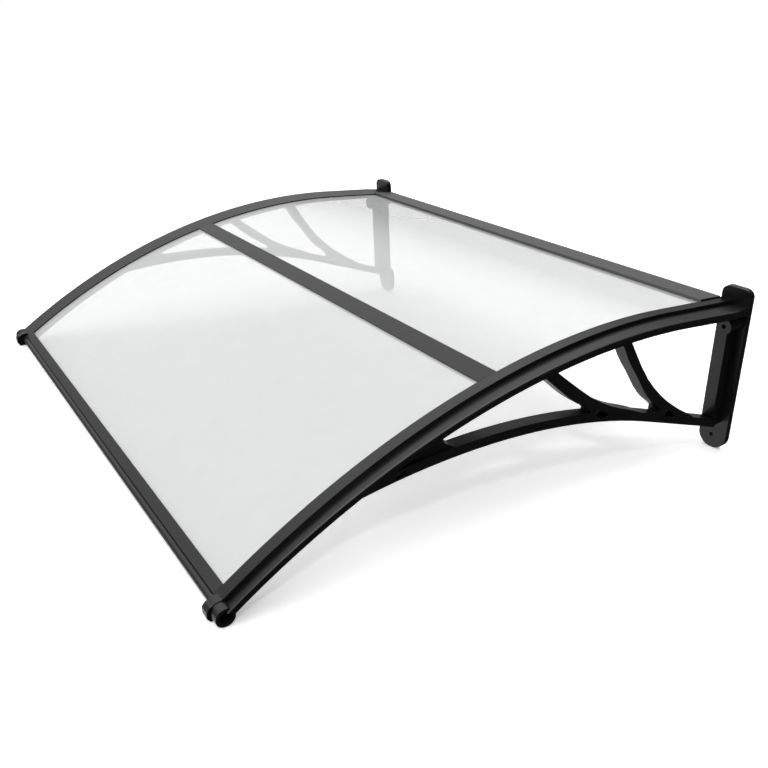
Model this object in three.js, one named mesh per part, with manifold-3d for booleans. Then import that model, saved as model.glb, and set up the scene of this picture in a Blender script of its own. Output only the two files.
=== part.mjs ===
// A door canopy: two moulded side brackets, two clear curved sheets and three bars that frame them.
// Millimetres, +X across the door, +Y into the wall, +Z up. The drawing has the wall at y = 0, and the
// finished group is moved down so that its origin is the middle of the wall seal's back face.
import * as THREE from 'three';
import { mergeVertices } from 'three/addons/utils/BufferGeometryUtils.js';
import Module from 'manifold-3d';

const wasm = await Module();
wasm.setup();

// Driving dimensions of the roof line, which is the upper face of the rails' top flanges
const CROWN_RADIUS = 1166;
const CROWN_Y = -300;
const CROWN_Z = 181;
const STRAIGHT_FROM_Y = -158;
const FRONT_EDGE_Y = -894.6;

// Clearance between pieces that touch
const GAP = 0.3;

// Side rails: the right rail's section at the front edge and at the wall, as [distance outwards from the
// rail's inner edge, depth below the roof line].
// The flange rises outwards over the sheet's edge, then comes a groove and the outer rim.
const RAIL_INNER_X = 470;
const FLANGE_THICKNESS = 2;
const SLOT_WIDTH = 15.3;
const CREST = 23;
const RAIL_TOP_FRONT = [[CREST, -4.8], [23.6, 1.4], [40, -2.2], [41.8, -1.4], [42.8, 0.6]];
const RAIL_TOP_REAR = [[CREST, -2.5], [23.6, 3.6], [61.5, -0.6], [63.8, 0.2], [65, 2.4]];
const RAIL_BASE_FRONT = [[42.8, 6], [36, 7.5], [16, 16], [0, 16]];
const RAIL_BASE_REAR = [[65, 11.8], [52, 12.5], [16, 9], [0, 9]];
const RAIL_CHANGE_POWER = 1.25;
const RAIL_TAPER = 9;
const RAIL_TAPER_LENGTH = 60;

// Sheets
const SHEET_THICKNESS = 3;

// Bracket frame below the rail: arch, struts and post share one outer plane and one width
const FRAME_OUTER_X = RAIL_INNER_X + 42;
const FRAME_WIDTH = 21;
const ARCH_CREST_Y = -624;
const ARCH_CREST_Z = 94.5;
const ARCH_RADIUS = 1093;
const ARCH_DEPTH = 14;
const ARCH_FRONT_Y = -727;
const ARCH_STRAIGHT_Y = -210;
const ARCH_END_Y = -14;
const WEDGE_TIP_Y = -602;
const WEDGE_SET_IN = 3;
const POCKET_DEPTH = 8;

// Post, wall plate and boss of the right bracket
const PLATE_THICKNESS = 11;
const PLATE_OUTER_X = RAIL_INNER_X + 56.3;
const PLATE_BOTTOM_Z = -111;
const PLATE_TOP_Z = 181;
const TAB_INNER_X = RAIL_INNER_X + 6;
const TAB_BOTTOM_Z = 122;
const TAB_CORNER = 13;
const LOWER_TAB_INNER_X = RAIL_INNER_X + 5.5;
const LOWER_TAB_TOP_Z = -50;
const PLATE_OVERLAP = 15;
const POST_FRONT_Y = -35.6;
const POST_BOTTOM_Z = -58;
const BOSS_X = RAIL_INNER_X + 41;
const BOSS_Z = 127;
const BOSS_RADIUS = 13;
const BOSS_FRONT_Y = -46;
const WALL_HOLE_RADIUS = 3.6;
const LOWER_HOLE_X = RAIL_INNER_X + 29.5;
const LOWER_HOLE_Z = -87;

// Front hub, placed from the roof line's front edge, and the prong's outline from the hub's axis
const HUB_AHEAD = 20.5;
const HUB_DEPTH = 3.6;
const HUB_RADIUS = 12.5;
const HUB_BARREL_X = RAIL_INNER_X + 9;
const HUB_NECK_RADIUS = 6.5;
const HUB_OUTER_X = RAIL_INNER_X + 39;
const HUB_GROOVE_X = RAIL_INNER_X + 23;
const HUB_GROOVE_WIDTH = 5;
const HUB_GROOVE_DEPTH = 1;
const HUB_BORE_RADIUS = 7.5;
const HUB_BORE_X = RAIL_INNER_X + 20;
const PRONG = [[0, 11], [-11, 9], [-16, 4], [-16.5, -5], [-12.5, -11], [0, -11.5]];

// Bars
const BAR_FLANGE = 2;
const FRONT_FLANGE_WIDTH = 15;
const NOSE_GROOVE_WIDTH = 1.7;
const NOSE_GROOVE_DEPTH = 1.2;
const NOSE_RADIUS = 5.6;
const SLOT_DEPTH = 11;
const LOWER_FLANGE_SET_IN = 2;
const CENTRE_BAR_FRONT_Y = -513.5;
const CENTRE_BAR_WIDTH = 31.3;
const CENTRE_WEB = 8;
const REAR_BAR_FRONT_Y = -55.4;
const REAR_BAR_BACK_Y = -4;
const REAR_BAR_RISE = 3;
const REAR_BEAM_WIDTH = 26;
const REAR_BEAM_DEPTH = 14;
const SEAL_HEIGHT = 12;

// Screws and the rail lugs that they pass through
const SCREW_RADIUS = 2;
const HEAD_RADIUS = 4;
const HEAD_HEIGHT = 2.6;
const FRONT_SCREW_REACH = 18;
const LUG_LENGTH = 16;
const LUG_THICKNESS = 7;
const LUG_REACH = 13;
const LUG_SCREW_REACH = 4;

// Smoothness of the faceted curves
const ROOF_STEPS = 40;
const ARCH_STEPS = 28;
const EDGE_STEPS = 14;
const ROUND_STEPS = 28;

// Values that follow from the driving dimensions
const SLOT_TOP = FLANGE_THICKNESS;
const SLOT_BOTTOM = SLOT_TOP + SHEET_THICKNESS + 2 * GAP;
const RAIL_CORE_DEPTH = SLOT_BOTTOM + GAP;
const SHEET_TOP = SLOT_TOP + GAP;
const SLOT_END_X = RAIL_INNER_X + SLOT_WIDTH;
const SHEET_EDGE_X = SLOT_END_X - GAP;
const BAR_END_X = RAIL_INNER_X - GAP;
const FRAME_INNER_X = FRAME_OUTER_X - FRAME_WIDTH;

// Point at a depth below the roof line: y is the foot point on the line itself
function roofPoint(y, depth) {
  const arcY = Math.min(y, STRAIGHT_FROM_Y);
  const angle = Math.asin((arcY - CROWN_Y) / CROWN_RADIUS);
  const radius = CROWN_RADIUS - depth;
  const run = (y - arcY) / Math.cos(angle);
  return new THREE.Vector2(
    CROWN_Y + radius * Math.sin(angle) + run * Math.cos(angle),
    CROWN_Z - CROWN_RADIUS + radius * Math.cos(angle) - run * Math.sin(angle),
  );
}

// Slope angle of the roof line at y, positive where it falls towards the wall
function roofAngle(y) {
  return Math.asin((Math.min(y, STRAIGHT_FROM_Y) - CROWN_Y) / CROWN_RADIUS);
}

// Point in the straight frame at a place of the roof line: ahead towards the front, down along the normal
function localPoint(originY, ahead, down) {
  const origin = roofPoint(originY, 0);
  const angle = roofAngle(originY);
  return new THREE.Vector2(
    origin.x - ahead * Math.cos(angle) - down * Math.sin(angle),
    origin.y + ahead * Math.sin(angle) - down * Math.cos(angle),
  );
}

// Evenly spaced points of a function of one value
function sample(from, to, steps, pointAt) {
  return Array.from({ length: steps + 1 }, (_, i) => pointAt(from + ((to - from) * i) / steps));
}

// Outline between two depths below the roof line
function roofBand(frontY, backY, upper, lower) {
  const steps = Math.max(4, Math.round((ROOF_STEPS * (backY - frontY)) / -FRONT_EDGE_Y));
  return [
    ...sample(frontY, backY, steps, (y) => roofPoint(y, upper)),
    ...sample(backY, frontY, steps, (y) => roofPoint(y, lower)),
  ];
}

// Point on the arch, at a height above its lower edge
function archPoint(y, height) {
  const arcY = Math.min(y, ARCH_STRAIGHT_Y);
  const angle = Math.asin((arcY - ARCH_CREST_Y) / ARCH_RADIUS);
  const radius = ARCH_RADIUS + height;
  const run = (y - arcY) / Math.cos(angle);
  return new THREE.Vector2(
    ARCH_CREST_Y + radius * Math.sin(angle) + run * Math.cos(angle),
    ARCH_CREST_Z - ARCH_RADIUS + radius * Math.cos(angle) - run * Math.sin(angle),
  );
}

// Closed three.js geometry to a solid
function solid(geometry) {
  const bare = geometry.index ? geometry.toNonIndexed() : geometry.clone();
  bare.deleteAttribute('normal');
  bare.deleteAttribute('uv');
  const merged = mergeVertices(bare, 1e-4);
  return new wasm.Manifold(new wasm.Mesh({
    numProp: 3,
    vertProperties: new Float32Array(merged.attributes.position.array),
    triVerts: new Uint32Array(merged.index.array),
  }));
}

// Solid back to a three.js geometry
function geometryOf(body) {
  const mesh = body.getMesh();
  const geometry = new THREE.BufferGeometry();
  geometry.setAttribute('position', new THREE.BufferAttribute(Float32Array.from(mesh.vertProperties), 3));
  geometry.setIndex(new THREE.BufferAttribute(Uint32Array.from(mesh.triVerts), 1));
  geometry.computeVertexNormals();
  return geometry;
}

// Outline in the Y-Z plane, given as points or a shape, extruded along X
function prism(outline, fromX, toX) {
  const shape = outline instanceof THREE.Shape ? outline : new THREE.Shape(outline);
  const geometry = new THREE.ExtrudeGeometry(shape, {
    depth: toX - fromX, bevelEnabled: false, curveSegments: ROUND_STEPS,
  });
  const axes = new THREE.Matrix4().makeBasis(
    new THREE.Vector3(0, 1, 0), new THREE.Vector3(0, 0, 1), new THREE.Vector3(1, 0, 0),
  );
  return solid(geometry.applyMatrix4(axes).translate(fromX, 0, 0));
}

// Outline in the X-Z plane, extruded towards the front from the wall face backY
function slab(shape, frontY, backY) {
  const geometry = new THREE.ExtrudeGeometry(shape, {
    depth: backY - frontY, bevelEnabled: false, curveSegments: ROUND_STEPS / 4,
  });
  return solid(geometry.rotateX(Math.PI / 2).translate(0, backY, 0));
}

function boxBetween(low, high) {
  const size = high.clone().sub(low);
  const centre = low.clone().add(high).multiplyScalar(0.5);
  return solid(new THREE.BoxGeometry(size.x, size.y, size.z).translate(centre.x, centre.y, centre.z));
}

// Round bar along X with its axis at a point of the Y-Z plane
function rodAlongX(axis, radius, fromX, toX) {
  const geometry = new THREE.CylinderGeometry(radius, radius, toX - fromX, ROUND_STEPS);
  return solid(geometry.rotateZ(Math.PI / 2).translate((fromX + toX) / 2, axis.x, axis.y));
}

function rodAlongY(x, z, radius, fromY, toY) {
  const geometry = new THREE.CylinderGeometry(radius, radius, toY - fromY, ROUND_STEPS);
  return solid(geometry.translate(x, (fromY + toY) / 2, z));
}

// Round bar square to the roof line, between two depths
function rodAcrossRoof(x, y, radius, upper, lower) {
  const angle = roofAngle(y);
  const middle = localPoint(y, 0, (upper + lower) / 2);
  const geometry = new THREE.CylinderGeometry(radius, radius, lower - upper, ROUND_STEPS);
  return solid(geometry.rotateX(Math.PI / 2 - angle).translate(x, middle.x, middle.y));
}

// Section in X and depth, swept along the roof line while it changes from its front to its rear form
function sweepAlongRoof(frontSection, rearSection, fromY, toY) {
  const shape = new THREE.Shape(frontSection.map(([x, depth]) => new THREE.Vector2(x, depth)));
  const geometry = new THREE.ExtrudeGeometry(shape, { depth: 1, steps: ROOF_STEPS, bevelEnabled: false });
  const position = geometry.attributes.position;
  for (let i = 0; i < position.count; i += 1) {
    const y = THREE.MathUtils.lerp(fromY, toY, position.getZ(i));
    const corner = frontSection.findIndex(([x, depth]) => (
      Math.hypot(x - position.getX(i), depth - position.getY(i)) < 1e-3
    ));
    const share = Math.max(0, 1 - y / FRONT_EDGE_Y) ** RAIL_CHANGE_POWER;
    const [x, depth] = frontSection[corner].map((from, k) => (
      THREE.MathUtils.lerp(from, rearSection[corner][k], share)
    ));
    const place = roofPoint(y, depth);
    position.setXYZ(i, RAIL_INNER_X + x, place.x, place.y);
  }
  return solid(geometry);
}

function union(bodies) {
  return bodies.reduce((sum, body) => sum.add(body));
}

function cut(body, tools) {
  return tools.reduce((rest, tool) => rest.subtract(tool), body);
}

const hubAxis = localPoint(FRONT_EDGE_Y, HUB_AHEAD, HUB_DEPTH);
const frontSheetY = localPoint(FRONT_EDGE_Y, SLOT_DEPTH, 0).x;
const frontFlangeEndY = localPoint(FRONT_EDGE_Y, FRONT_FLANGE_WIDTH, 0).x;
const centreBarBackY = CENTRE_BAR_FRONT_Y + CENTRE_BAR_WIDTH;
const centreBarMiddleY = (CENTRE_BAR_FRONT_Y + centreBarBackY) / 2;
const rearScrewY = REAR_BAR_BACK_Y - REAR_BEAM_WIDTH / 2;

// Rail with the slot that holds the sheets' side edges
function rail() {
  const slot = [[0, SLOT_BOTTOM], [SLOT_WIDTH, SLOT_BOTTOM], [SLOT_WIDTH, SLOT_TOP], [0, SLOT_TOP], [0, 0]];
  return sweepAlongRoof(
    [...RAIL_TOP_FRONT, ...RAIL_BASE_FRONT, ...slot], [...RAIL_TOP_REAR, ...RAIL_BASE_REAR, ...slot],
    frontFlangeEndY, GAP - PLATE_THICKNESS,
  );
}

// Narrows the rail towards the wall, down to the plate's outer edge
function taperToPlate(body) {
  const normal = new THREE.Vector3(-RAIL_TAPER_LENGTH, -RAIL_TAPER, 0).normalize();
  const corner = new THREE.Vector3(PLATE_OUTER_X, -PLATE_THICKNESS, 0);
  return body.trimByPlane(normal.toArray(), normal.dot(corner));
}

// Front end of the rail: neck, barrel with a groove round it, and the prong ahead
function hub() {
  const prong = PRONG.map(([y, z]) => new THREE.Vector2(hubAxis.x + y, hubAxis.y + z));
  const grooveEndX = HUB_GROOVE_X + HUB_GROOVE_WIDTH;
  const sheetSlot = prism(
    roofBand(frontSheetY - GAP, FRONT_EDGE_Y + HUB_RADIUS, SLOT_TOP, SLOT_BOTTOM), 0, SLOT_END_X,
  );
  return union([
    rodAlongX(hubAxis, HUB_NECK_RADIUS, RAIL_INNER_X, HUB_BARREL_X + 1),
    rodAlongX(hubAxis, HUB_RADIUS, HUB_BARREL_X, HUB_GROOVE_X),
    rodAlongX(hubAxis, HUB_RADIUS - HUB_GROOVE_DEPTH, HUB_GROOVE_X, grooveEndX),
    rodAlongX(hubAxis, HUB_RADIUS, grooveEndX, HUB_OUTER_X),
    prism(prong, HUB_BARREL_X, HUB_GROOVE_X),
  ]).subtract(sheetSlot);
}

// Outline of the arch
function arch() {
  return [
    ...sample(ARCH_FRONT_Y, ARCH_END_Y, ARCH_STEPS, (y) => archPoint(y, 0)),
    ...sample(ARCH_END_Y, ARCH_FRONT_Y, ARCH_STEPS, (y) => archPoint(y, ARCH_DEPTH)),
  ];
}

// Web that closes the narrow end between rail and arch, with a rounded rear edge
function wedge() {
  const mouth = 20;
  const upper = roofPoint(WEDGE_TIP_Y + mouth, RAIL_CORE_DEPTH);
  const lower = archPoint(WEDGE_TIP_Y + mouth, ARCH_DEPTH - 1);
  const control = new THREE.Vector2(WEDGE_TIP_Y - mouth, (upper.y + lower.y) / 2);
  const mouthEdge = new THREE.QuadraticBezierCurve(upper, control, lower).getPoints(EDGE_STEPS);
  return [...mouthEdge, archPoint(ARCH_FRONT_Y, 4), archPoint(ARCH_FRONT_Y, ARCH_DEPTH - 4)];
}

// Strut between two smooth edges, each through the given points
function strut(frontEdge, backEdge) {
  const smooth = (pairs) => new THREE.SplineCurve(pairs.map(([y, z]) => new THREE.Vector2(y, z)))
    .getPoints(EDGE_STEPS);
  return [...smooth(frontEdge), ...smooth(backEdge)];
}

const frontStrut = strut(
  [[-441, 168], [-431, 155], [-407, 132], [-387, 113], [-366, 96], [-347, 83], [-337, 74], [-341, 66]],
  [[-210, 26], [-245, 45], [-286, 64], [-326, 88], [-357, 112], [-411, 159], [-420, 170]],
);
const rearStrut = strut(
  [
    [-292, 174], [-282, 160], [-265, 129], [-245, 101], [-226, 72], [-208, 50], [-191, 35], [-181, 24],
    [-186, 12],
  ],
  [[-74, -33], [-101, -12], [-142, 16], [-183, 50], [-224, 96], [-264, 160], [-271, 174]],
);

// Pockets in the outer face, where the wedge and the struts run into the arch
const pockets = [
  [[-680, 98.7], [-668, 103.6], [-662.5, 103.7], [-659, 98.3], [-665, 95.2], [-676.7, 96.6]],
  [[-326, 67.8], [-321.3, 71], [-310, 65], [-301, 58.2], [-298.2, 53.5], [-306.4, 53.5], [-324.6, 60]],
  [[-167, 13], [-162.7, 17.5], [-155.4, 14], [-139.4, 0.5], [-142.6, -3.5], [-164.6, 6.2]],
];

// Rectangle with one radius at its two lower corners and one at its two upper corners
function roundedRectangle(left, right, bottom, top, lower, upper) {
  const shape = new THREE.Shape();
  shape.moveTo(left + lower, bottom);
  shape.absarc(right - lower, bottom + lower, lower, -Math.PI / 2, 0);
  shape.lineTo(right, top - upper);
  shape.absarc(right - upper, top - upper, upper, 0, Math.PI / 2);
  shape.lineTo(left + upper, top);
  shape.absarc(left + upper, top - upper, upper, Math.PI / 2, Math.PI);
  shape.lineTo(left, bottom + lower);
  shape.absarc(left + lower, bottom + lower, lower, Math.PI, Math.PI * 1.5);
  return shape;
}

// Wall plate with its wider tab at the top and round tab at the bottom, the post and the screw boss
function wallEnd() {
  const upperTab = roundedRectangle(
    TAB_INNER_X, PLATE_OUTER_X, TAB_BOTTOM_Z, PLATE_TOP_Z, TAB_CORNER, TAB_CORNER,
  );
  const round = (PLATE_OUTER_X - LOWER_TAB_INNER_X) / 2 - GAP / 2;
  const lowerTab = roundedRectangle(
    LOWER_TAB_INNER_X, PLATE_OUTER_X, PLATE_BOTTOM_Z, LOWER_TAB_TOP_Z, round, TAB_CORNER,
  );
  return union([
    boxBetween(
      new THREE.Vector3(FRAME_INNER_X, -PLATE_THICKNESS, PLATE_BOTTOM_Z + round),
      new THREE.Vector3(PLATE_OUTER_X, 0, TAB_BOTTOM_Z + PLATE_OVERLAP),
    ),
    slab(upperTab, -PLATE_THICKNESS, 0),
    slab(lowerTab, -PLATE_THICKNESS, 0),
    boxBetween(
      new THREE.Vector3(FRAME_INNER_X, POST_FRONT_Y, POST_BOTTOM_Z),
      new THREE.Vector3(FRAME_OUTER_X, -PLATE_THICKNESS / 2, roofPoint(0, RAIL_CORE_DEPTH).y),
    ),
    rodAlongY(BOSS_X, BOSS_Z, BOSS_RADIUS, BOSS_FRONT_Y, -PLATE_THICKNESS / 2),
  ]);
}

// Lug on the rail's inner side, which reaches below the end of a bar
function lug(y, underside) {
  const half = LUG_LENGTH / 2;
  const top = underside + GAP;
  const outline = (upper) => [
    localPoint(y, half, upper), localPoint(y, -half, upper),
    localPoint(y, -half, top + LUG_THICKNESS), localPoint(y, half, top + LUG_THICKNESS),
  ];
  return prism(outline(top), RAIL_INNER_X - LUG_REACH, RAIL_INNER_X + LUG_REACH)
    .add(prism(outline(RAIL_CORE_DEPTH), RAIL_INNER_X, RAIL_INNER_X + LUG_REACH));
}

const lugScrewX = RAIL_INNER_X - LUG_REACH / 2;
const barUnderside = SLOT_BOTTOM + BAR_FLANGE;
const rearUnderside = REAR_BEAM_DEPTH;
const lugs = [
  { name: 'centre', y: centreBarMiddleY, underside: barUnderside },
  { name: 'rear', y: rearScrewY, underside: rearUnderside },
];

// Arch, struts and wedge web, all kept below the rail's core
function frame() {
  const web = union([arch(), frontStrut, rearStrut].map((outline) => (
    prism(outline, FRAME_INNER_X, FRAME_OUTER_X)
  )));
  const belowRail = prism(
    roofBand(ARCH_FRONT_Y - 20, 0, RAIL_CORE_DEPTH, 400), FRAME_INNER_X - 1, FRAME_OUTER_X + 1,
  );
  const pocketTools = pockets.map((points) => prism(
    points.map(([y, z]) => new THREE.Vector2(y, z)), FRAME_OUTER_X - POCKET_DEPTH, FRAME_OUTER_X + 1,
  ));
  const whole = web.add(prism(wedge(), FRAME_INNER_X, FRAME_OUTER_X - WEDGE_SET_IN));
  return cut(whole.intersect(belowRail), pocketTools);
}

function rightBracket() {
  const body = union([
    taperToPlate(rail()), hub(), frame(), wallEnd(), ...lugs.map(({ y, underside }) => lug(y, underside)),
  ]);
  return cut(body, [
    rodAlongX(hubAxis, HUB_BORE_RADIUS, HUB_BORE_X, PLATE_OUTER_X),
    rodAlongX(hubAxis, SCREW_RADIUS + GAP, 0, PLATE_OUTER_X),
    rodAlongY(BOSS_X, BOSS_Z, WALL_HOLE_RADIUS, BOSS_FRONT_Y - 1, 1),
    rodAlongY(LOWER_HOLE_X, LOWER_HOLE_Z, WALL_HOLE_RADIUS, -PLATE_THICKNESS - 1, 1),
    ...lugs.map(({ y, underside }) => rodAcrossRoof(
      lugScrewX, y, SCREW_RADIUS + GAP, underside - 1, underside + LUG_THICKNESS + 2,
    )),
  ]);
}

// Sheets from slot to slot, bent along the roof line
function sheet(frontY, backY) {
  return prism(roofBand(frontY, backY, SHEET_TOP, SHEET_TOP + SHEET_THICKNESS), -SHEET_EDGE_X, SHEET_EDGE_X);
}

// Front bar: flange over the sheet, groove, round nose about the hub's axis and a lip under the sheet
function frontBar() {
  const at = (ahead, down) => localPoint(FRONT_EDGE_Y, ahead, down);
  const noseAt = (angle) => at(
    HUB_AHEAD + NOSE_RADIUS * Math.sin(angle), HUB_DEPTH - NOSE_RADIUS * Math.cos(angle),
  );
  const grooveEnd = FRONT_FLANGE_WIDTH + NOSE_GROOVE_WIDTH;
  const noseStart = -Math.asin((HUB_AHEAD - grooveEnd) / NOSE_RADIUS);
  const noseEnd = Math.PI * 1.22;
  const section = [
    at(0, 0), at(FRONT_FLANGE_WIDTH, 0), at(FRONT_FLANGE_WIDTH + NOSE_GROOVE_WIDTH / 2, NOSE_GROOVE_DEPTH),
    ...sample(noseStart, noseEnd, ROUND_STEPS, noseAt),
    at(SLOT_DEPTH, barUnderside), at(LOWER_FLANGE_SET_IN, barUnderside), at(LOWER_FLANGE_SET_IN, SLOT_BOTTOM),
    at(SLOT_DEPTH + GAP, SLOT_BOTTOM), at(SLOT_DEPTH + GAP, BAR_FLANGE), at(0, BAR_FLANGE),
  ];
  const channel = rodAlongX(hubAxis, SCREW_RADIUS + GAP, -RAIL_INNER_X, RAIL_INNER_X);
  return prism(section, -BAR_END_X, BAR_END_X).subtract(channel);
}

// H joiner: two flanges and the web between the sheets
function centreBar() {
  const at = (ahead, down) => localPoint(centreBarMiddleY, ahead, down);
  const half = CENTRE_BAR_WIDTH / 2;
  const web = CENTRE_WEB / 2;
  const outline = [
    [half, 0], [-half, 0], [-half, BAR_FLANGE], [-web, BAR_FLANGE], [-web, SLOT_BOTTOM], [-half, SLOT_BOTTOM],
    [-half, barUnderside], [half, barUnderside], [half, SLOT_BOTTOM], [web, SLOT_BOTTOM], [web, BAR_FLANGE],
    [half, BAR_FLANGE],
  ];
  const body = prism(outline.map(([ahead, down]) => at(ahead, down)), -BAR_END_X, BAR_END_X);
  return cut(body, lugScrewHoles(centreBarMiddleY, barUnderside));
}

// Wall bar: raised top flange with a front lip, the beam behind the sheet and a lip under it
function rearBar() {
  const at = (y, down) => roofPoint(y, down);
  const beamFrontY = REAR_BAR_BACK_Y - REAR_BEAM_WIDTH;
  const backTopZ = at(REAR_BAR_BACK_Y, -REAR_BAR_RISE).y;
  const backBottomZ = at(REAR_BAR_BACK_Y, REAR_BEAM_DEPTH).y;
  const section = [
    at(REAR_BAR_FRONT_Y, -REAR_BAR_RISE), new THREE.Vector2(REAR_BAR_BACK_Y, backTopZ),
    new THREE.Vector2(REAR_BAR_BACK_Y, backBottomZ), at(beamFrontY, REAR_BEAM_DEPTH),
    at(beamFrontY, barUnderside), at(REAR_BAR_FRONT_Y + LOWER_FLANGE_SET_IN, barUnderside),
    at(REAR_BAR_FRONT_Y + LOWER_FLANGE_SET_IN, SLOT_BOTTOM), at(beamFrontY, SLOT_BOTTOM),
    at(beamFrontY, SLOT_TOP - REAR_BAR_RISE), at(REAR_BAR_FRONT_Y + BAR_FLANGE, SLOT_TOP - REAR_BAR_RISE),
    at(REAR_BAR_FRONT_Y + BAR_FLANGE, SLOT_TOP), at(REAR_BAR_FRONT_Y, SLOT_TOP),
  ];
  return cut(prism(section, -BAR_END_X, BAR_END_X), lugScrewHoles(rearScrewY, rearUnderside));
}

function lugScrewHoles(y, underside) {
  return [-lugScrewX, lugScrewX].map((x) => rodAcrossRoof(
    x, y, SCREW_RADIUS + GAP, underside - LUG_SCREW_REACH - GAP, underside + 2,
  ));
}

const sealZ = roofPoint(REAR_BAR_BACK_Y, REAR_BEAM_DEPTH / 2 - 1).y;

function wallSeal() {
  return boxBetween(
    new THREE.Vector3(-BAR_END_X, REAR_BAR_BACK_Y + GAP, sealZ - SEAL_HEIGHT / 2),
    new THREE.Vector3(BAR_END_X, 0, sealZ + SEAL_HEIGHT / 2),
  );
}

function frontScrew() {
  const headFrom = HUB_BORE_X + GAP;
  return rodAlongX(hubAxis, SCREW_RADIUS, RAIL_INNER_X - FRONT_SCREW_REACH, headFrom + 1)
    .add(rodAlongX(hubAxis, HEAD_RADIUS + 1, headFrom, headFrom + HEAD_HEIGHT));
}

function lugScrew({ y, underside }) {
  const lugUnderside = underside + GAP + LUG_THICKNESS;
  const headFrom = lugUnderside + GAP;
  return rodAcrossRoof(lugScrewX, y, SCREW_RADIUS, underside - LUG_SCREW_REACH, headFrom + 1)
    .add(rodAcrossRoof(lugScrewX, y, HEAD_RADIUS, headFrom, headFrom + HEAD_HEIGHT));
}

// Mirror image of a geometry across the middle of the canopy
function mirrored(geometry) {
  const copy = geometry.clone().scale(-1, 1, 1);
  const index = copy.index.array;
  for (let i = 0; i < index.length; i += 3) {
    [index[i + 1], index[i + 2]] = [index[i + 2], index[i + 1]];
  }
  copy.computeVertexNormals();
  return copy;
}

// Materials
const blackPlastic = () => new THREE.MeshStandardMaterial({ color: '#17181a', roughness: 0.42 });
const darkAluminium = () => new THREE.MeshStandardMaterial({
  color: '#4a4c4e', roughness: 0.38, metalness: 0.6,
});
const clearSheet = () => new THREE.MeshStandardMaterial({
  color: '#eef0f0', roughness: 0.08, transparent: true, opacity: 0.35,
});
const blackRubber = () => new THREE.MeshStandardMaterial({ color: '#1c1c1c', roughness: 0.85 });
const screwSteel = () => new THREE.MeshStandardMaterial({
  color: '#8f9294', roughness: 0.35, metalness: 0.9,
});

// Scene
const canopy = new THREE.Group();
canopy.position.z = -sealZ;

function addPiece(name, geometry, material) {
  const mesh = new THREE.Mesh(geometry, material);
  mesh.name = name;
  canopy.add(mesh);
}

function addPair(name, body, material) {
  const geometry = geometryOf(body);
  addPiece(`${name}_right`, geometry, material());
  addPiece(`${name}_left`, mirrored(geometry), material());
}

const sheetToWeb = CENTRE_WEB / 2 + GAP;
addPair('bracket', rightBracket(), blackPlastic);
addPiece('front_bar', geometryOf(frontBar()), darkAluminium());
addPiece('centre_bar', geometryOf(centreBar()), darkAluminium());
addPiece('rear_bar', geometryOf(rearBar()), darkAluminium());
addPiece('front_sheet', geometryOf(sheet(frontSheetY, centreBarMiddleY - sheetToWeb)), clearSheet());
addPiece('rear_sheet', geometryOf(sheet(
  centreBarMiddleY + sheetToWeb, REAR_BAR_BACK_Y - REAR_BEAM_WIDTH - GAP,
)), clearSheet());
addPiece('wall_seal', geometryOf(wallSeal()), blackRubber());
addPair('front_screw', frontScrew(), screwSteel);
lugs.forEach((place) => addPair(`${place.name}_screw`, lugScrew(place), screwSteel));

export default canopy;
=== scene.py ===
# %% [markdown]
# # Door canopy
# The real thing hangs over a front door: two moulded side brackets hold two clear bent sheets, and three
# aluminium bars frame the sheets across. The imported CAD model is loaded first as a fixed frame. It gives
# every piece its size and place in metres, with X across the door, Y into the wall and Z up.

# %% Load the frame
import math

import bpy
import numpy as np
from mathutils import Matrix, Vector


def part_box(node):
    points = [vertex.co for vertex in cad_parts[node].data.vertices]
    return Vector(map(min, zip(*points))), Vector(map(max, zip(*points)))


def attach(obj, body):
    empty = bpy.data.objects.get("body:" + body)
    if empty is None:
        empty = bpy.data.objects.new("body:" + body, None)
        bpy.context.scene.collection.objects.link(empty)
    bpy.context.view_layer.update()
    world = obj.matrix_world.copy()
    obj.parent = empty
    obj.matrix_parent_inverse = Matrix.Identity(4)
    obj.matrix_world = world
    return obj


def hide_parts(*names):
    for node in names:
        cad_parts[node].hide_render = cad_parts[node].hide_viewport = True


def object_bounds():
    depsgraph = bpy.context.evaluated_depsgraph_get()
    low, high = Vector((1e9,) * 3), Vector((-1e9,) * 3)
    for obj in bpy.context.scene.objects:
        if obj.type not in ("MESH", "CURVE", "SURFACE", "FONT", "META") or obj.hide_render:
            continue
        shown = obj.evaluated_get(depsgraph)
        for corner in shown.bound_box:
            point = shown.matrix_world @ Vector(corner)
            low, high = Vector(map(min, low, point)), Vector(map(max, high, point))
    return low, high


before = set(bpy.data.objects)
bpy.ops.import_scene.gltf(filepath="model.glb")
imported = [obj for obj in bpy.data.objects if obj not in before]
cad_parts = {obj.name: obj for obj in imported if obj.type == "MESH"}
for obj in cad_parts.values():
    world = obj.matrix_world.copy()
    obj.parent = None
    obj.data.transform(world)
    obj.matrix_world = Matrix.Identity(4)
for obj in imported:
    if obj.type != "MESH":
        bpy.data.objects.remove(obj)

MM = 0.001
cad_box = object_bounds()
print("CAD box", [[round(value, 4) for value in corner] for corner in cad_box])

# %% [markdown]
# ## Working by hand, in code
# Operators act on whatever is selected, so each step first selects exactly one object. A mesh from a CAD
# file is loose triangles. To shape one further, a copy is merged along its seams and its flat faces are
# joined up again, and only then do its edges take a bevel.


# %% Selecting, copying and finishing
def select_only(*objects):
    bpy.ops.object.select_all(action="DESELECT")
    for obj in objects:
        obj.select_set(True)
    bpy.context.view_layer.objects.active = objects[0]


def in_edit_mode(obj, work):
    select_only(obj)
    bpy.ops.object.mode_set(mode="EDIT")
    work()
    bpy.ops.object.mode_set(mode="OBJECT")


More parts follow.
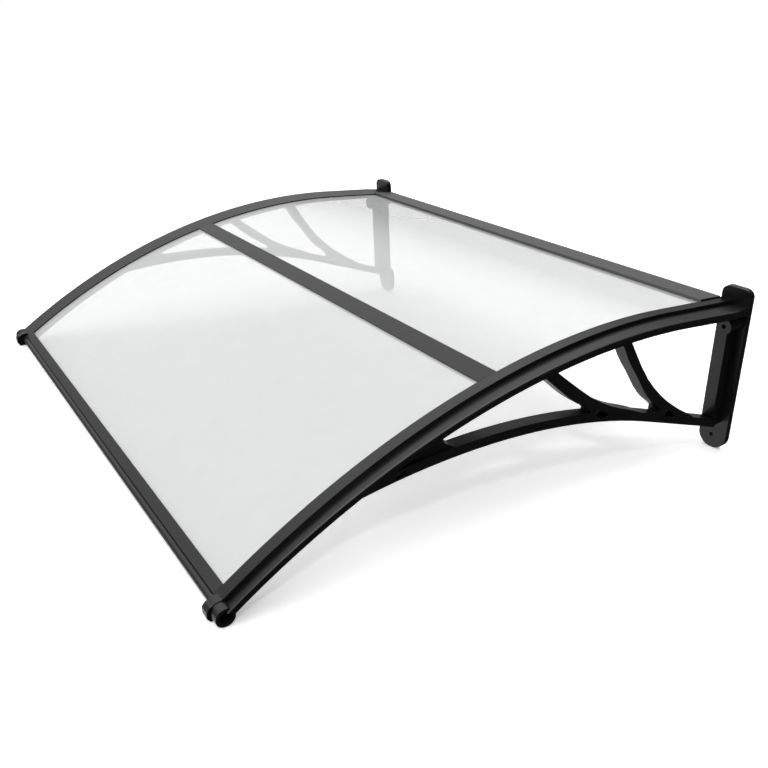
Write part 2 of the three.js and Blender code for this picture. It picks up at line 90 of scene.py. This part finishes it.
def whole(obj, flat_angle=0.4):
    """Merge loose triangles and join the flat ones into one face."""
    def work():
        bpy.ops.mesh.select_all(action="SELECT")
        bpy.ops.mesh.remove_doubles(threshold=0.01 * MM)
        bpy.ops.mesh.dissolve_limited(angle_limit=math.radians(flat_angle))
    in_edit_mode(obj, work)


def copy_of_node(node, name):
    """A new object with its own mesh, in the place of a CAD node."""
    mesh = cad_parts[node].data.copy()
    mesh.materials.clear()
    obj = bpy.data.objects.new(name, mesh)
    bpy.context.scene.collection.objects.link(obj)
    whole(obj)
    return obj


def apply_modifier(obj, kind, **settings):
    select_only(obj)
    modifier = obj.modifiers.new(kind.lower(), kind)
    for key, value in settings.items():
        setattr(modifier, key, value)
    bpy.ops.object.modifier_apply(modifier=modifier.name)


def round_edges(obj, width, segments=2, angle=16):
    """Give every sharp edge a small radius, and keep the faces beside it looking flat."""
    select_only(obj)
    bpy.ops.object.shade_smooth()
    apply_modifier(
        obj, "BEVEL", width=width, segments=segments, limit_method="ANGLE", harden_normals=True,
        angle_limit=math.radians(angle), use_clamp_overlap=True,
    )
    apply_modifier(obj, "WEIGHTED_NORMAL", weight=90, keep_sharp=True)


def finish_piece(obj, material, slot, *nodes):
    """Give a piece its finish, attach it to a body and hide the CAD nodes that it takes the place of."""
    obj.data.materials.clear()
    obj.data.materials.append(material)
    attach(obj, "root")
    if nodes:
        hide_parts(*nodes)
    print(obj.name, len(obj.data.polygons), "faces")


# %% [markdown]
# ## Finishes
# A material starts from what the real one is and how its surface was made. Colours are written as sRGB
# hex, as a paint program shows them, and one function turns them to the linear values that light uses.


# %% Node helpers
def linear(hex_colour):
    channels = [int(hex_colour[i:i + 2], 16) / 255 for i in (1, 3, 5)]
    return [c / 12.92 if c <= 0.04045 else ((c + 0.055) / 1.055) ** 2.4 for c in channels] + [1.0]


def add_node(tree, kind, settings=None, **inputs):
    """Add a node with its settings and links.

    An input goes by its socket's name with _ for a space, or by its index, as in i0. Its value is either a
    plain value or an output to link from.
    """
    node = tree.nodes.new(kind)
    for key, value in (settings or {}).items():
        setattr(node, key, value)
    for key, value in inputs.items():
        by_index = key[0] == "i" and key[1:].isdigit()
        socket = node.inputs[int(key[1:]) if by_index else key.replace("_", " ")]
        if isinstance(value, bpy.types.NodeSocket):
            tree.links.new(value, socket)
        else:
            socket.default_value = value
    return node


def new_material(name):
    material = bpy.data.materials.new(name)
    material.use_nodes = True
    material.node_tree.nodes.clear()
    return material, material.node_tree


# Noise in every finish has the same falloff. Fine grain has one more octave than broad marks.
NOISE_ROUGHNESS = 0.6
FINE_DETAIL = 3.0
BROAD_DETAIL = 2.0

# %% [markdown]
# Moulded ABS is nearly black. What the eye sees is mostly the room in its skin: a fine spark-eroded grain
# spreads the reflection, and broad flow marks make it a little glossier here and duller there.

# %% Moulded black ABS
GRAIN = 0.9 * MM
FLOW_MARK = 60 * MM


def moulded_abs():
    material, tree = new_material("moulded_black_abs")
    place = add_node(tree, "ShaderNodeTexCoord").outputs["Object"]
    fine = add_node(
        tree, "ShaderNodeTexNoise", Vector=place, Scale=1 / GRAIN, Detail=FINE_DETAIL,
        Roughness=NOISE_ROUGHNESS,
    ).outputs[0]
    broad = add_node(
        tree, "ShaderNodeTexNoise", Vector=place, Scale=1 / FLOW_MARK, Detail=BROAD_DETAIL,
        Roughness=NOISE_ROUGHNESS,
    ).outputs[0]
    colour = add_node(
        tree, "ShaderNodeMix", {"data_type": "RGBA"}, i0=broad, i6=linear("#09090a"), i7=linear("#0f0f10"),
    ).outputs[2]
    gloss = add_node(tree, "ShaderNodeMapRange", Value=broad, To_Min=0.3, To_Max=0.42).outputs[0]
    bump = add_node(tree, "ShaderNodeBump", Strength=0.22, Distance=0.12 * MM, Height=fine)
    shader = add_node(
        tree, "ShaderNodeBsdfPrincipled", IOR=1.5,
        Base_Color=colour, Roughness=gloss, Normal=bump.outputs[0],
    )
    add_node(tree, "ShaderNodeOutputMaterial", Surface=shader.outputs[0])
    return material


ABS = moulded_abs()

# %% [markdown]
# The bars are extruded, brushed along their length and anodised dark. The die and the brushing leave fine
# lines along the bar, so the noise is stretched along X, and the dye takes a little unevenly.

# %% Dark anodised aluminium
BRUSH_LINE = 0.8 * MM
BRUSH_STRETCH = 0.06
DYE_SPECK = 1.2 * MM


def anodised(name, dark, light, rough):
    material, tree = new_material(name)
    place = add_node(tree, "ShaderNodeTexCoord").outputs["Object"]
    along = add_node(tree, "ShaderNodeMapping", Vector=place, Scale=(BRUSH_STRETCH, 1, 1)).outputs[0]
    lines = add_node(
        tree, "ShaderNodeTexNoise", Vector=along, Scale=1 / BRUSH_LINE, Detail=FINE_DETAIL,
        Roughness=NOISE_ROUGHNESS,
    ).outputs[0]
    speck = add_node(
        tree, "ShaderNodeTexNoise", Vector=place, Scale=1 / DYE_SPECK, Detail=BROAD_DETAIL,
        Roughness=NOISE_ROUGHNESS,
    ).outputs[0]
    colour = add_node(
        tree, "ShaderNodeMix", {"data_type": "RGBA"}, i0=speck, i6=linear(dark), i7=linear(light),
    ).outputs[2]
    gloss = add_node(
        tree, "ShaderNodeMapRange", Value=lines, To_Min=rough - 0.06, To_Max=rough + 0.08,
    ).outputs[0]
    bump = add_node(tree, "ShaderNodeBump", Strength=0.18, Distance=0.08 * MM, Height=lines)
    shader = add_node(
        tree, "ShaderNodeBsdfPrincipled", Metallic=1.0,
        Base_Color=colour, Roughness=gloss, Normal=bump.outputs[0],
    )
    add_node(tree, "ShaderNodeOutputMaterial", Surface=shader.outputs[0])
    return material


DARK_ALUMINIUM = anodised("dark_anodised_aluminium", "#3b3b3b", "#474747", 0.36)
# The rear bar is the same dark anodised aluminium as the others. Its copy is painted lighter, and a little
# rougher: the lighter colour is a painted highlight for the brighter light that falls on the rear bar.
REAR_BAR_PAINTED_LIGHTER = anodised("dark_anodised_painted_lighter", "#636363", "#737373", 0.42)

# %% [markdown]
# The sheets are clear polycarbonate, 3 mm thick. Light goes through, and on the real sheet a pale veil of
# reflected room lies over everything behind. Here that veil is painted: a pale grey base colour, on a sheet
# that is only partly opaque, stands in for the reflection. The painted part is even, and only the sheet's
# own gloss grows stronger where it is seen at a low angle.

# %% Clear polycarbonate
HAZE = 30 * MM
VEIL_OPACITY = 0.55


def polycarbonate():
    material, tree = new_material("clear_polycarbonate_painted_veil")
    place = add_node(tree, "ShaderNodeTexCoord").outputs["Object"]
    haze = add_node(
        tree, "ShaderNodeTexNoise", Vector=place, Scale=1 / HAZE, Detail=BROAD_DETAIL,
        Roughness=NOISE_ROUGHNESS,
    ).outputs[0]
    # The pale grey base colour is a painted reflection: it stands in for the veil of reflected room. The
    # haze noise varies it a little at random.
    colour = add_node(
        tree, "ShaderNodeMix", {"data_type": "RGBA"}, i0=haze, i6=linear("#c9caca"), i7=linear("#cfd0d0"),
    ).outputs[2]
    gloss = add_node(tree, "ShaderNodeMapRange", Value=haze, To_Min=0.06, To_Max=0.09).outputs[0]
    shader = add_node(
        tree, "ShaderNodeBsdfPrincipled", IOR=1.585,
        Base_Color=colour, Roughness=gloss, Alpha=VEIL_OPACITY,
    )
    add_node(tree, "ShaderNodeOutputMaterial", Surface=shader.outputs[0])
    return material


SHEET_WITH_PAINTED_VEIL = polycarbonate()

# %% [markdown]
# Rubber scatters light and has a faint chalky bloom. Zinc plated steel is bright and slightly uneven.

# %% Rubber and zinc plated steel
BLOOM = 6 * MM
SPANGLE = 1.5 * MM


def soft_rubber():
    material, tree = new_material("extruded_epdm_rubber")
    place = add_node(tree, "ShaderNodeTexCoord").outputs["Object"]
    bloom = add_node(
        tree, "ShaderNodeTexNoise", Vector=place, Scale=1 / BLOOM, Detail=FINE_DETAIL,
        Roughness=NOISE_ROUGHNESS,
    ).outputs[0]
    fine = add_node(
        tree, "ShaderNodeTexNoise", Vector=place, Scale=1 / GRAIN, Detail=FINE_DETAIL,
        Roughness=NOISE_ROUGHNESS,
    ).outputs[0]
    colour = add_node(
        tree, "ShaderNodeMix", {"data_type": "RGBA"}, i0=bloom, i6=linear("#161616"), i7=linear("#232323"),
    ).outputs[2]
    gloss = add_node(tree, "ShaderNodeMapRange", Value=bloom, To_Min=0.72, To_Max=0.88).outputs[0]
    bump = add_node(tree, "ShaderNodeBump", Strength=0.3, Distance=0.1 * MM, Height=fine)
    shader = add_node(
        tree, "ShaderNodeBsdfPrincipled", IOR=1.52,
        Base_Color=colour, Roughness=gloss, Normal=bump.outputs[0],
    )
    add_node(tree, "ShaderNodeOutputMaterial", Surface=shader.outputs[0])
    return material


def zinc_plated():
    material, tree = new_material("zinc_plated_steel")
    place = add_node(tree, "ShaderNodeTexCoord").outputs["Object"]
    spangle = add_node(
        tree, "ShaderNodeTexNoise", Vector=place, Scale=1 / SPANGLE, Detail=FINE_DETAIL,
        Roughness=NOISE_ROUGHNESS,
    ).outputs[0]
    colour = add_node(
        tree, "ShaderNodeMix", {"data_type": "RGBA"}, i0=spangle, i6=linear("#8d9093"), i7=linear("#a9acaf"),
    ).outputs[2]
    gloss = add_node(tree, "ShaderNodeMapRange", Value=spangle, To_Min=0.28, To_Max=0.42).outputs[0]
    shader = add_node(
        tree, "ShaderNodeBsdfPrincipled", Metallic=1.0,
        Base_Color=colour, Roughness=gloss,
    )
    add_node(tree, "ShaderNodeOutputMaterial", Surface=shader.outputs[0])
    return material


RUBBER = soft_rubber()
ZINC = zinc_plated()

# %% [markdown]
# ## Brackets
# Each bracket is one large moulding. Moulded edges are never sharp, and the thin bright line that an edge
# catches is what makes black plastic readable, so a copy of the CAD solid gets a small radius all round.

# %% Round the brackets' edges
MOULD_RADIUS = 0.9 * MM

for side in ("right", "left"):
    bracket = copy_of_node(f"bracket_{side}", f"moulded_bracket_{side}")
    round_edges(bracket, MOULD_RADIUS, segments=3)
    finish_piece(bracket, ABS, "black_plastic", f"bracket_{side}")

# %% [markdown]
# The pockets in the bracket's outer face are lined with a thin raised lip, which is part of the moulding.
# The photograph shows it as a light line round each pocket. A lip is a tube along the pocket's outline,
# with its axis just below the face that it grows from. The outlines are millimetres along Y and Z in the
# part's drawing, which sits higher than the frame by a fixed amount.

# %% Raised lips round the pockets
LIP_RADIUS = 0.9 * MM
LIP_FACE = 512 * MM
LIP_SUNK = 0.25 * MM
LIPS = {
    "front_pocket_lip": [(-679.9, 98.7), (-668.3, 103.6), (-662.5, 103.7), (-658.8, 98.3), (-665.2, 95.2),
                         (-676.7, 96.6)],
    "middle_pocket_lip": [(-326.2, 67.8), (-321.3, 71), (-310.2, 65), (-301.2, 58.2), (-298.2, 53.5),
                          (-306.4, 53.5), (-324.6, 59.9)],
    "rear_pocket_lip": [(-167.2, 13.1), (-162.7, 17.5), (-155.4, 14), (-139.4, 0.5), (-142.6, -3.5),
                        (-164.6, 6.2)],
}
DRAWING_TO_FRAME = -147.457 * MM


def pocket_lip(name, points, side):
    sign = 1 if side == "right" else -1
    bpy.ops.curve.primitive_bezier_curve_add(location=(0, 0, 0))
    curve = bpy.context.object
    curve.data.splines.clear()
    line = curve.data.splines.new("POLY")
    line.points.add(len(points) - 1)
    for point, (y, z) in zip(line.points, points):
        point.co = (sign * (LIP_FACE - LIP_SUNK), y * MM, z * MM + DRAWING_TO_FRAME, 1)
    curve.data.dimensions = "3D"
    curve.data.bevel_depth = LIP_RADIUS
    curve.data.bevel_resolution = 3
    line.use_cyclic_u = True
    select_only(curve)
    bpy.ops.object.convert(target="MESH")
    lip = bpy.context.object
    lip.name = f"{name}_{side}"
    bpy.ops.object.shade_smooth()
    finish_piece(lip, ABS, "black_plastic")


for side in ("right", "left"):
    for name, points in LIPS.items():
        pocket_lip(name, points, side)

# %% [markdown]
# ## Bars
# An extrusion comes out of its die with edges broken by a few tenths of a millimetre.

# %% Break the bars' edges
DIE_RADIUS = 0.35 * MM

BAR_FINISHES = {"front_bar": DARK_ALUMINIUM, "centre_bar": DARK_ALUMINIUM, "rear_bar": REAR_BAR_PAINTED_LIGHTER}

for bar, material in BAR_FINISHES.items():
    extrusion = copy_of_node(bar, f"extruded_{bar}")
    round_edges(extrusion, DIE_RADIUS)
    finish_piece(extrusion, material, "dark_aluminium", bar)

# %% [markdown]
# ## Sheets
# The sheets are bent cold into the rails' slots. Their sawn edges are broken slightly.

# %% Break the sheets' edges
SAWN_RADIUS = 0.3 * MM

for sheet in ("front_sheet", "rear_sheet"):
    glazing = copy_of_node(sheet, f"bent_{sheet}")
    round_edges(glazing, SAWN_RADIUS)
    finish_piece(glazing, SHEET_WITH_PAINTED_VEIL, "clear_sheet", sheet)

# %% [markdown]
# ## Wall seal
# The seal behind the rear bar is a rubber strip with ribs that press on the wall. It is a box, cut across
# into strips, and every second strip is pushed back to leave a rib between two grooves.

# %% Ribbed rubber strip
RIB_COUNT = 5
GROOVE_DEPTH = 1.4 * MM
RUBBER_RADIUS = 0.3 * MM


def ribbed_seal():
    low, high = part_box("wall_seal")
    bpy.ops.mesh.primitive_cube_add(size=1, location=(low + high) / 2, scale=high - low)
    seal = bpy.context.object
    seal.name = "ribbed_wall_seal"
    select_only(seal)
    bpy.ops.object.transform_apply(location=True, rotation=True, scale=True)
    step = (high.z - low.z) / RIB_COUNT

    def work():
        for cut in range(1, RIB_COUNT):
            bpy.ops.mesh.select_all(action="SELECT")
            bpy.ops.mesh.bisect(plane_co=(0, 0, low.z + cut * step), plane_no=(0, 0, 1))
    in_edit_mode(seal, work)
    back = [face for face in seal.data.polygons if face.normal.y > 0.9]
    grooves = [face.index for face in back if int((face.center.z - low.z) / step) % 2 == 1]

    def push():
        bpy.ops.mesh.select_mode(type="FACE")
        bpy.ops.mesh.extrude_region_move(TRANSFORM_OT_translate={"value": (0, -GROOVE_DEPTH, 0)})
    for vertex in seal.data.vertices:
        vertex.select = False
    for edge in seal.data.edges:
        edge.select = False
    for face in seal.data.polygons:
        face.select = face.index in grooves
    in_edit_mode(seal, push)
    round_edges(seal, RUBBER_RADIUS)
    finish_piece(seal, RUBBER, "black_rubber", "wall_seal")


ribbed_seal()

# %% [markdown]
# ## Screws
# One pan-head screw is modelled standing up: a shank, a domed head and a cross recess cut into it. Six
# copies of its mesh then take the place of the CAD's screws. Each CAD screw's own points tell its axis.

# %% Model one screw for a shank length
HEAD_HEIGHT = 2.6 * MM
SHANK_RADIUS = 1.9 * MM
DOME_RADIUS = 0.9 * MM
TIP_CHAMFER = 0.5 * MM
RECESS_WIDTH = 1.0 * MM
RECESS_HEIGHT = 3 * MM


def screw_model(name, length, head_radius):
    bpy.ops.mesh.primitive_cylinder_add(vertices=32, radius=head_radius, depth=HEAD_HEIGHT,
                                        location=(0, 0, -HEAD_HEIGHT / 2))
    head = bpy.context.object
    head.name = name
    select_only(head)
    bpy.ops.object.transform_apply(location=True, rotation=True, scale=True)
    apply_modifier(head, "BEVEL", width=DOME_RADIUS, segments=4, limit_method="ANGLE")
    for turn in (0, 90):
        bpy.ops.mesh.primitive_cube_add(size=1, scale=(RECESS_WIDTH, head_radius * 1.1, RECESS_HEIGHT),
                                        rotation=(0, 0, math.radians(turn)))
        blade = bpy.context.object
        select_only(blade)
        bpy.ops.object.transform_apply(location=True, rotation=True, scale=True)
        apply_modifier(head, "BOOLEAN", operation="DIFFERENCE", object=blade, solver="EXACT")
        bpy.data.objects.remove(blade)
    bpy.ops.mesh.primitive_cylinder_add(vertices=24, radius=SHANK_RADIUS, depth=length - HEAD_HEIGHT,
                                        location=(0, 0, -(length + HEAD_HEIGHT) / 2))
    shank = bpy.context.object
    select_only(shank)
    bpy.ops.object.transform_apply(location=True, rotation=True, scale=True)
    apply_modifier(shank, "BEVEL", width=TIP_CHAMFER, segments=2, limit_method="ANGLE")
    select_only(head, shank)
    bpy.ops.object.join()
    select_only(head)
    bpy.ops.object.shade_smooth_by_angle(angle=math.radians(35))
    return head


def axis_of(node):
    """Centre of the head's outer face, direction out of the head, and length of a CAD screw."""
    points = np.array([vertex.co[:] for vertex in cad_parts[node].data.vertices])
    low, high = points.min(0), points.max(0)
    centre = points.mean(0)
    direction = np.linalg.svd(points - centre, full_matrices=False)[2][0]
    run = (points - centre) @ direction
    radius = np.linalg.norm(points - centre - np.outer(run, direction), axis=1)
    if run[radius.argmax()] < (run.min() + run.max()) / 2:
        direction, run = -direction, -run
    middle = (low + high) / 2
    axis_point = centre + direction * ((middle - centre) @ direction)
    start = axis_point + direction * (run.max() - (axis_point - centre) @ direction)
    return Vector(start), Vector(direction), run.max() - run.min(), radius.max()


# %% Put a screw in every place
for place in ("front", "centre", "rear"):
    for side in ("right", "left"):
        node = f"{place}_screw_{side}"
        start, direction, length, radius = axis_of(node)
        screw = screw_model(f"pan_head_{node}", length, radius)
        turn = direction.to_track_quat("Z", "Y").to_matrix().to_4x4()
        screw.data.transform(Matrix.Translation(start) @ turn)
        finish_piece(screw, ZINC, "screw_steel", node)

# %% [markdown]
# ## Floor, light and camera
# The canopy rests on a pale table with its front hubs and the feet of its wall plates, so the table's plane
# is laid through those. The world is one wide soft light from the left, as from a big diffuser, and dark on
# the right, which is what keeps the outer sides black. A weaker lamp on the right draws the soft shadows
# that show through the sheets.

# %% Floor
FLOOR_SLOPE = -0.1126
FLOOR_CLEARANCE = 1 * MM
FLOOR_WIDTH = 400
FLOOR_GLOW = 0.42

bpy.ops.mesh.primitive_grid_add(x_subdivisions=2, y_subdivisions=2, size=FLOOR_WIDTH,
                                location=(0, 0, cad_box[0][2] - FLOOR_CLEARANCE),
                                rotation=(math.atan(FLOOR_SLOPE), 0, 0))
floor = bpy.context.object
floor.name = "floor"
floor_material, floor_tree = new_material("pale_floor")
ray = add_node(floor_tree, "ShaderNodeLightPath")
seen = add_node(floor_tree, "ShaderNodeMath", {"operation": "MULTIPLY"}, i0=ray.outputs["Is Camera Ray"],
                i1=FLOOR_GLOW)
pale = add_node(floor_tree, "ShaderNodeBsdfPrincipled", Base_Color=linear("#f4f4f4"), Roughness=0.9,
                Emission_Color=linear("#ffffff"), Emission_Strength=seen.outputs[0])
add_node(floor_tree, "ShaderNodeOutputMaterial", Surface=pale.outputs[0])
floor.data.materials.append(floor_material)
floor.visible_glossy = False

# %% World light
DIFFUSER_DIRECTION = (-1, -0.25, 0.45)
HORIZON_HEIGHT = 0.03
HORIZON_HALF_WIDTH = 0.1
HORIZON_FADE = 0.34
HORIZON_LEVEL = 0.06
DIFFUSER_START, DIFFUSER_FULL = -0.25, 0.5
DARK_LEVEL, BRIGHT_LEVEL = 0.03, 1.1

scene = bpy.context.scene
scene.view_settings.view_transform = "Standard"
world = bpy.data.worlds.new("soft_studio")
scene.world = world
world.use_nodes = True
sky = world.node_tree
sky.nodes.clear()

direction = add_node(sky, "ShaderNodeTexCoord").outputs["Generated"]
towards = add_node(sky, "ShaderNodeVectorMath", {"operation": "DOT_PRODUCT"}, i0=direction,
                   i1=Vector(DIFFUSER_DIRECTION).normalized()).outputs["Value"]
height = add_node(sky, "ShaderNodeSeparateXYZ", Vector=direction).outputs["Z"]
from_horizon = add_node(sky, "ShaderNodeMath", {"operation": "SUBTRACT"}, i0=height,
                        i1=HORIZON_HEIGHT).outputs[0]
distance = add_node(sky, "ShaderNodeMath", {"operation": "ABSOLUTE"}, i0=from_horizon).outputs[0]
diffuser = add_node(sky, "ShaderNodeMapRange", {"interpolation_type": "SMOOTHSTEP"}, Value=towards,
                    From_Min=DIFFUSER_START, From_Max=DIFFUSER_FULL, To_Min=DARK_LEVEL, To_Max=BRIGHT_LEVEL)
band = add_node(sky, "ShaderNodeMapRange", {"interpolation_type": "SMOOTHSTEP"}, Value=distance,
                From_Min=HORIZON_HALF_WIDTH, From_Max=HORIZON_FADE, To_Min=HORIZON_LEVEL, To_Max=1.0)
ramp = add_node(sky, "ShaderNodeMath", {"operation": "MULTIPLY"}, i0=diffuser.outputs[0], i1=band.outputs[0])
path = add_node(sky, "ShaderNodeLightPath").outputs["Is Camera Ray"]
strength = add_node(sky, "ShaderNodeMix", {"data_type": "FLOAT"}, i0=path, i2=ramp.outputs[0], i3=1.0)
background = add_node(sky, "ShaderNodeBackground", Color=linear("#ffffff"), Strength=strength.outputs[0])
add_node(sky, "ShaderNodeOutputWorld", Surface=background.outputs[0])

# %% Lamps
SHADOW_DIRECTION = (0.56, -0.23, 0.8)
SHADOW_STRENGTH = 0.55
SHADOW_WIDTH = 5
CEILING_STRENGTH = 1.9
CEILING_WIDTH = 70


def sun(name, direction, strength, width):
    """A far lamp in a direction. Its width in degrees is how soft its shadows are."""
    data = bpy.data.lights.new(name, "SUN")
    data.energy = strength
    data.angle = math.radians(width)
    lamp = bpy.data.objects.new(name, data)
    scene.collection.objects.link(lamp)
    lamp.matrix_world = Vector(direction).to_track_quat("Z", "Y").to_matrix().to_4x4()


sun("shadow_lamp", SHADOW_DIRECTION, SHADOW_STRENGTH, SHADOW_WIDTH)
sun("ceiling_lamp", (0, 0, 1), CEILING_STRENGTH, CEILING_WIDTH)

# %% Camera
AZIMUTH = 56.97
ELEVATION = 27.06
ROLL = -2.38
LENS = 37.56
SENSOR_WIDTH = 36
CAMERA_PLACE = (1.18485, -1.12552, 0.49254)

azimuth, elevation, roll = (math.radians(angle) for angle in (AZIMUTH, ELEVATION, ROLL))
ahead = Vector((-math.sin(azimuth) * math.cos(elevation), math.cos(azimuth) * math.cos(elevation),
                -math.sin(elevation)))
level_right = Vector((math.cos(azimuth), math.sin(azimuth), 0))
level_up = level_right.cross(ahead)
right = math.cos(roll) * level_right + math.sin(roll) * level_up
up = math.cos(roll) * level_up - math.sin(roll) * level_right
turned = Matrix((right, up, -ahead)).transposed().to_4x4()
camera_data = bpy.data.cameras.new("camera")
camera_data.lens = LENS
camera_data.sensor_width = SENSOR_WIDTH
camera = bpy.data.objects.new("camera", camera_data)
scene.collection.objects.link(camera)
camera.matrix_world = Matrix.Translation(CAMERA_PLACE) @ turned
scene.camera = camera
